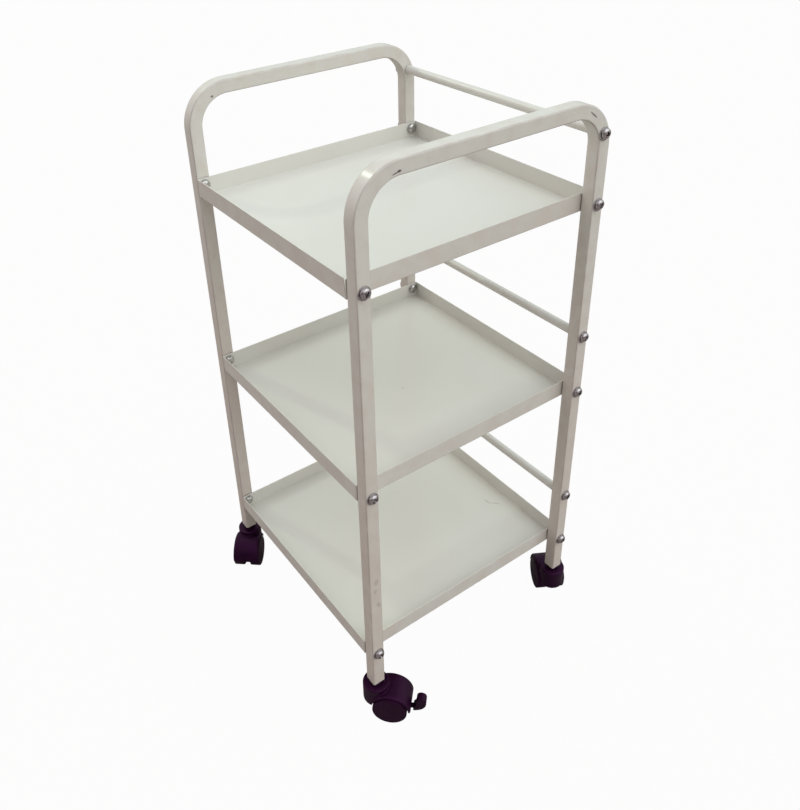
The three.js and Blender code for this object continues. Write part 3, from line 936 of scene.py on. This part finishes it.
def pedal_mesh():
    """A wide thumb pad on a narrow arm, with a trunnion that turns in the hood's web."""
    wide, arm = (drawn("plate", plate, pedal_outline(), half) for half in (PAD_HALF, ARM_HALF))
    block = [(0, -40), (PAD_START, -40), (PAD_START, 90), (0, 90)]
    before_pad = drawn("before_pad", plate, block, 2 * PAD_HALF)
    reach = WEB_HALF - GAP
    trunnion = along_y(cylinder(TRUNNION_RADIUS, -reach, reach), *PEDAL_PIVOT)
    tools = [("DIFFERENCE", before_pad), ("UNION", arm), ("UNION", trunnion)]
    return moulded(combine(wide, tools), *PEDAL_SKIN)


def spun(angle):
    """A turn of a wheel about its axle."""
    x, z = AXLE
    there, back = Matrix.Translation((x, 0, z)), Matrix.Translation((-x, 0, -z))
    return there @ Matrix.Rotation(angle, 4, "Y") @ back


def make_casters(hood_paint, wheel_paint, pedal_paint, socket_paint, steel):
    hood = hood_mesh()
    pedal = pedal_mesh()
    wheel = along_y(drawn("wheel", draw_wheel), *AXLE)
    axle = along_y(drawn("axle", draw_axle), *AXLE)
    stem = drawn("stem", draw_stem)
    flip = Matrix.Translation((2 * CASTER_TRAIL, 0, 0)) @ Matrix.Rotation(math.pi, 4, "Z")
    for corner in CORNERS:
        centre = middle(f"{corner}_stem")
        turn = Matrix.Rotation(heading(corner), 4, "Z")
        placed = Matrix.Translation((centre.x, centre.y, 0)) @ turn
        swivel = f"{corner}_swivel"
        piece(f"{corner}_caster_hood", hood, hood_paint, swivel, placed,
              sharp=MOULDED_SHARP)
        piece(f"{corner}_axle", axle, steel, swivel, placed)
        piece(f"{corner}_stem", stem, socket_paint, "chassis", placed)
        for hand, side in (("a", Matrix.Identity(4)), ("b", flip)):
            piece(f"{corner}_wheel_{hand}", wheel, wheel_paint, f"{corner}_roller_{hand}",
                  placed @ side @ spun(dice.uniform(0, 2 * math.pi)))
        if f"{corner}_brake_pedal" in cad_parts:
            piece(f"{corner}_brake_pedal", pedal, pedal_paint, f"{corner}_brake",
                  placed, sharp=MOULDED_SHARP)


# ---- the trolley ----------------------------------------------------------------------------
def make_frames(material):
    mesh = drawn("frame", draw_frame)
    for hand in ("left", "right"):
        centre = middle(f"{hand}_frame")
        piece(f"{hand}_frame", mesh, material, "chassis",
              Matrix.Translation((centre.x, MIDDLE_Y, 0)))


def make_rods(material):
    for level in LEVELS:
        low, high = box_mm(f"{level}_rod")
        radius = (high.z - low.z) / 2
        mesh = drawn("rod", draw_rod, (high.x - low.x) / 2, radius)
        centre = (low + high) / 2
        turn = Matrix.Rotation(math.pi / 2, 4, "Y")
        piece(f"{level}_rod", mesh, material, "chassis",
              Matrix.Translation(centre) @ turn)


# Chips and stains in the paint: place, half sizes, turn and strength, in metres and radians.
FRAME_CHIPS = (
    ((-0.180, -0.1465, 0.8222), (0.002, 0.0022, 0.0016), (0, 0, 0), 0.75),
    ((0.199, -0.1262, 0.8281), (0.002, 0.0026, 0.0014), (0.15, 0, 0), 0.95),
    ((0.199, -0.1305, 0.8268), (0.002, 0.0052, 0.0007), (0.22, 0, 0), 0.9),
    ((0.199, 0.1560, 0.8246), (0.002, 0.0080, 0.0011), (-0.68, 0, 0), 0.75),
)
FRAME_STAINS = (
    ((0.199, -0.1737, 0.2709), (0.004, 0.0040, 0.0060), (0, 0, 0), 0.22),
    ((0.199, -0.1759, 0.2554), (0.004, 0.0030, 0.0050), (0, 0, 0), 0.20),
    ((0.199, -0.1711, 0.2271), (0.004, 0.0030, 0.0060), (0.4, 0, 0), 0.25),
)
TRAY_CHIPS = (
    ((0.0276, 0.0028, 0.4047), (0.0024, 0.0006, 0.001), (0, 0, 0.9), 0.65),
)
TRAY_STAINS = (
    ((0.0590, 0.1545, 0.1174), (0.0075, 0.0010, 0.002), (0, 0, 0.1), 0.40),
    ((0.0700, 0.1625, 0.1174), (0.0090, 0.0009, 0.002), (0, 0, 0.75), 0.35),
)

make_frames(powder_coat("frame_paint", FRAME_CHIPS, FRAME_STAINS, FRAME_TINT,
                        FRAME_WARM_COVER, tube_line=middle("right_frame").x * MM))
tray_finish = powder_coat("tray_paint", TRAY_CHIPS, TRAY_STAINS, corner_shade=TRAY_CORNER_SHADE_COVER, outside=(
    (middle("top_tray").x * MM, (tray_high.x - tray_low.x) / 2 * MM - TRAY_CLEARANCE * MM),
    (middle("top_tray").y * MM, (tray_high.y - tray_low.y) / 2 * MM)))
for tray_level in LEVELS:
    make_tray(tray_level, tray_finish)
make_rods(powder_coat("rod_paint"))
make_fasteners(zinc("screw_zinc", SCREW_ZINC), zinc("nut_zinc", NUT_ZINC))
make_casters(
    black_plastic("hood_plastic", (0.0115, 0.0014, 0.0112), (0.34, 0.48)),
    black_plastic("wheel_plastic", (0.0115, 0.0004, 0.0110), (0.40, 0.55), grain=1500),
    black_plastic("pedal_plastic", (0.0100, 0.0014, 0.0096), (0.38, 0.50)),
    black_plastic("socket_plastic", (0.0090, 0.0014, 0.0085), (0.45, 0.60)),
    brushed_steel("axle_steel"),
)


# ---- studio ---------------------------------------------------------------------------------
FLOOR_SIZE = 30
LAMP_AT = Vector((-4.6, -1.45, 4.9))
LAMP_RADIUS = 0.08
LAMP_COLOUR = (0.873, 1.0, 0.788)
LAMP_POWER = 133
# Soft light in the room: degrees round from +X, degrees up, colour, and how tightly it is gathered.
ROOM = (
    (0, 90, (0.662, 0.695, 0.703), 1),
    (0, 90, (0.0, 0.038, 0.124), 8),
    (0, 45, (0.903, 0.902, 0.900), 6),
    (45, 45, (1.007, 1.129, 1.106), 6),
    (180, 45, (0.246, 0.285, 0.217), 6),
    (225, 45, (0.455, 0.390, 0.385), 6),
    (0, 6, (0.263, 0.172, 0.156), 6),
    (45, 6, (0.530, 0.538, 0.513), 6),
    (90, 6, (0.322, 0.323, 0.301), 6),
    (135, 6, (0.246, 0.348, 0.336), 6),
    (180, 6, (0.184, 0.190, 0.171), 6),
    (225, 6, (0.700, 0.559, 0.565), 6),
)
BACKDROP = (1.0, 1.0, 1.0)
FLOOR_LIGHT = (0.32, 0.28, 0.26)
FLOOR_DARK = (0.30, 0.26, 0.24)
FLOOR_ROUGHNESS = 0.9
FLOOR_GLOW = 0.97                 # share of plain white in what the camera sees of the floor
CAMERA_AT = (0.83424, -0.60180, 1.14267)
CAMERA_TURN = (56.44, 30.36, -2.51)   # degrees: round from -Y towards +X, up, and rolled
CAMERA_LENS = 37.64
CAMERA_SHIFT = (0.0498, -0.1265)
CAMERA_RANGE = (0.05, 60)


def make_room():
    world = bpy.data.worlds.new("room")
    world.use_nodes = True
    w = Nodes(world.node_tree)
    w.nodes.clear()
    ray = w.add("ShaderNodeTexCoord").outputs["Generated"]
    total = None
    for round_x, lift, colour, gather in ROOM:
        a, b = math.radians(round_x), math.radians(lift)
        towards = (math.cos(a) * math.cos(b), math.sin(a) * math.cos(b), math.sin(b))
        facing_it = w.maths("MAXIMUM", w.vector("DOT_PRODUCT", ray, towards), 0)
        light = w.vector("SCALE", colour, w.maths("POWER", facing_it, gather))
        total = light if total is None else w.vector("ADD", total, light)
    seen = w.add("ShaderNodeLightPath").outputs["Is Camera Ray"]
    sky = w.add("ShaderNodeBackground")
    w.feed(sky.inputs["Color"], w.mix(seen, total, BACKDROP))
    w.feed(w.add("ShaderNodeOutputWorld").inputs[0], sky.outputs[0])
    bpy.context.scene.world = world


def make_floor():
    """A pale floor that shows almost white, so that only a faint shadow lies under the trolley."""
    bm = bmesh.new()
    bmesh.ops.create_grid(bm, x_segments=2, y_segments=2, size=FLOOR_SIZE / 2)
    floor = scratch(as_mesh(bm, "floor"))
    s = Shader("floor")
    s.set("Base Color", s.mix(s.cloudy(30), FLOOR_DARK, FLOOR_LIGHT))
    s.set("Roughness", FLOOR_ROUGHNESS)
    seen = s.add("ShaderNodeLightPath").outputs["Is Camera Ray"]
    glow = s.add("ShaderNodeEmission")
    glow.inputs["Color"].default_value = (1, 1, 1, 1)
    glow.inputs["Strength"].default_value = 1.0
    both = s.add("ShaderNodeMixShader")
    s.feed(both.inputs[0], s.maths("MULTIPLY", seen, FLOOR_GLOW))
    s.feed(both.inputs[1], s.surface.outputs[0])
    s.feed(both.inputs[2], glow.outputs[0])
    s.feed(s.nodes["Material Output"].inputs["Surface"], both.outputs[0])
    floor.data.materials.append(s.material)


def make_lamp():
    """One distant lamp, high on the left: it draws the soft shadows on the tray floors."""
    lamp = bpy.data.lights.new("lamp", "POINT")
    lamp.energy = LAMP_POWER
    lamp.color = LAMP_COLOUR
    lamp.shadow_soft_size = LAMP_RADIUS
    made = bpy.data.objects.new("lamp", lamp)
    made.location = LAMP_AT
    bpy.context.scene.collection.objects.link(made)


def make_camera():
    azimuth, elevation, roll = (math.radians(a) for a in CAMERA_TURN)
    back = Vector((math.sin(azimuth) * math.cos(elevation),
                   -math.cos(azimuth) * math.cos(elevation), math.sin(elevation)))
    right = (-back).cross(Vector((0, 0, 1))).normalized()
    up = right.cross(-back)
    side = math.cos(roll) * right + math.sin(roll) * up
    top = -math.sin(roll) * right + math.cos(roll) * up
    lens = bpy.data.cameras.new("camera")
    lens.lens = CAMERA_LENS
    lens.shift_x, lens.shift_y = CAMERA_SHIFT
    lens.clip_start, lens.clip_end = CAMERA_RANGE
    camera = bpy.data.objects.new("camera", lens)
    turn = Matrix((side, top, back)).transposed().to_4x4()
    camera.matrix_world = Matrix.Translation(CAMERA_AT) @ turn
    bpy.context.scene.collection.objects.link(camera)
    bpy.context.scene.camera = camera


make_room()
make_floor()
make_lamp()
make_camera()
view_settings = bpy.context.scene.view_settings
view_settings.view_transform = "Standard"
view_settings.look = "None"
